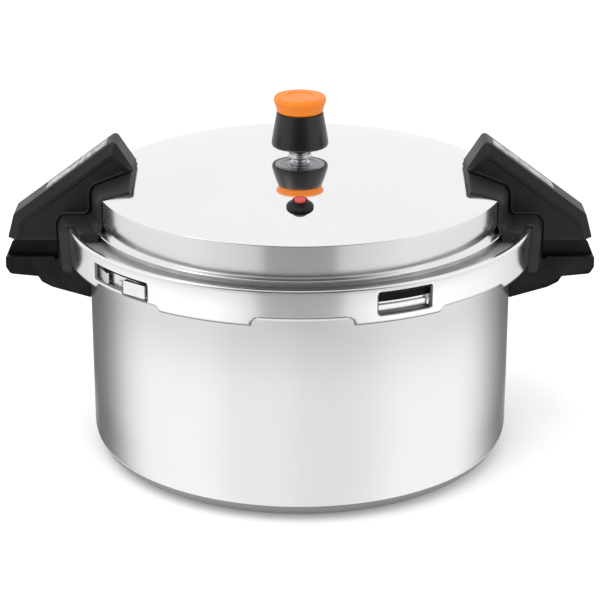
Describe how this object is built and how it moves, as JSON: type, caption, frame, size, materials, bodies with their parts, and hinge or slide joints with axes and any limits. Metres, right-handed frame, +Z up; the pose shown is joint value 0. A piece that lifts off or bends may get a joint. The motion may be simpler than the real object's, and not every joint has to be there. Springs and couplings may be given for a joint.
{
  "type": "pressure canner",
  "caption": "Two-handled aluminium pressure canner with a domed bayonet lid that turns to unlock, a lift-off weight valve, a safety plug with an indicator button and a jar rack inside.",
  "frame": {"origin": "centre of the underside of the pot's base, on the plane it stands on", "axes": "+Z up along the pot's axis, +X towards the right-hand handles, -Y towards the front, where the safety plug sits"},
  "size_m": [0.404, 0.32, 0.2488],
  "materials": {
    "pot_aluminium": "fine vertical brushing, satin base",
    "lid_aluminium": "mirror polished",
    "rack_aluminium": "plain mill finish",
    "bracket_steel": "plain rolled",
    "rivet_aluminium": "plain",
    "screw_steel": "zinc plated",
    "black_phenolic": "moulded, satin",
    "grey_phenolic": "moulded, matt",
    "label_grey": "satin",
    "black_rubber": "matt",
    "plug_rubber": "soft sheen",
    "spring_steel": "bright",
    "valve_steel": "turned and polished",
    "plate_steel": "turned",
    "weight_steel": "turned",
    "weight_black": "satin",
    "cap_orange": "satin",
    "red_plastic": "gloss"
  },
  "bodies": {
    "pot": {"pot_shell": "pot_aluminium", "canning_rack": "rack_aluminium", "left_pot_bracket": "bracket_steel", "right_pot_bracket": "bracket_steel", "bracket_rivets": "rivet_aluminium", "left_pot_handle": "black_phenolic", "right_pot_handle": "black_phenolic", "pot_handle_screws": "screw_steel"},
    "lid": {"lid_shell": "lid_aluminium", "sealing_gasket": "black_rubber", "left_lid_saddle": "grey_phenolic", "right_lid_saddle": "grey_phenolic", "left_lid_handle": "black_phenolic", "right_lid_handle": "black_phenolic", "left_label_plate": "label_grey", "right_label_plate": "label_grey", "lid_handle_screws": "screw_steel", "lock_clip": "spring_steel", "lock_rivet": "rivet_aluminium", "vent_pipe": "valve_steel", "vent_washer": "black_rubber", "vent_nut": "valve_steel", "vent_guard": "valve_steel", "safety_plug": "plug_rubber"},
    "indicator": {"indicator_pin": "red_plastic", "indicator_seal": "black_rubber"},
    "weight": {"weight_core": "weight_steel", "weight_cover": "weight_black", "weight_cap": "cap_orange", "weight_base_plate": "plate_steel", "weight_collar": "valve_steel", "weight_screw": "screw_steel"}
  },
  "joints": [
    {"name": "lid_turn", "type": "hinge", "parent": "pot", "child": "lid", "pos_m": [0, 0, 0.1555], "axis": [0, 0, 1], "range_deg": [0, 20]},
    {"name": "weight_lift", "type": "slide", "parent": "lid", "child": "weight", "axis": [0, 0, 1], "range_m": [0, 0.025]},
    {"name": "indicator_rise", "type": "slide", "parent": "lid", "child": "indicator", "axis": [0, -0.1833, 0.9831], "range_m": [0, 0.004]}
  ]
}
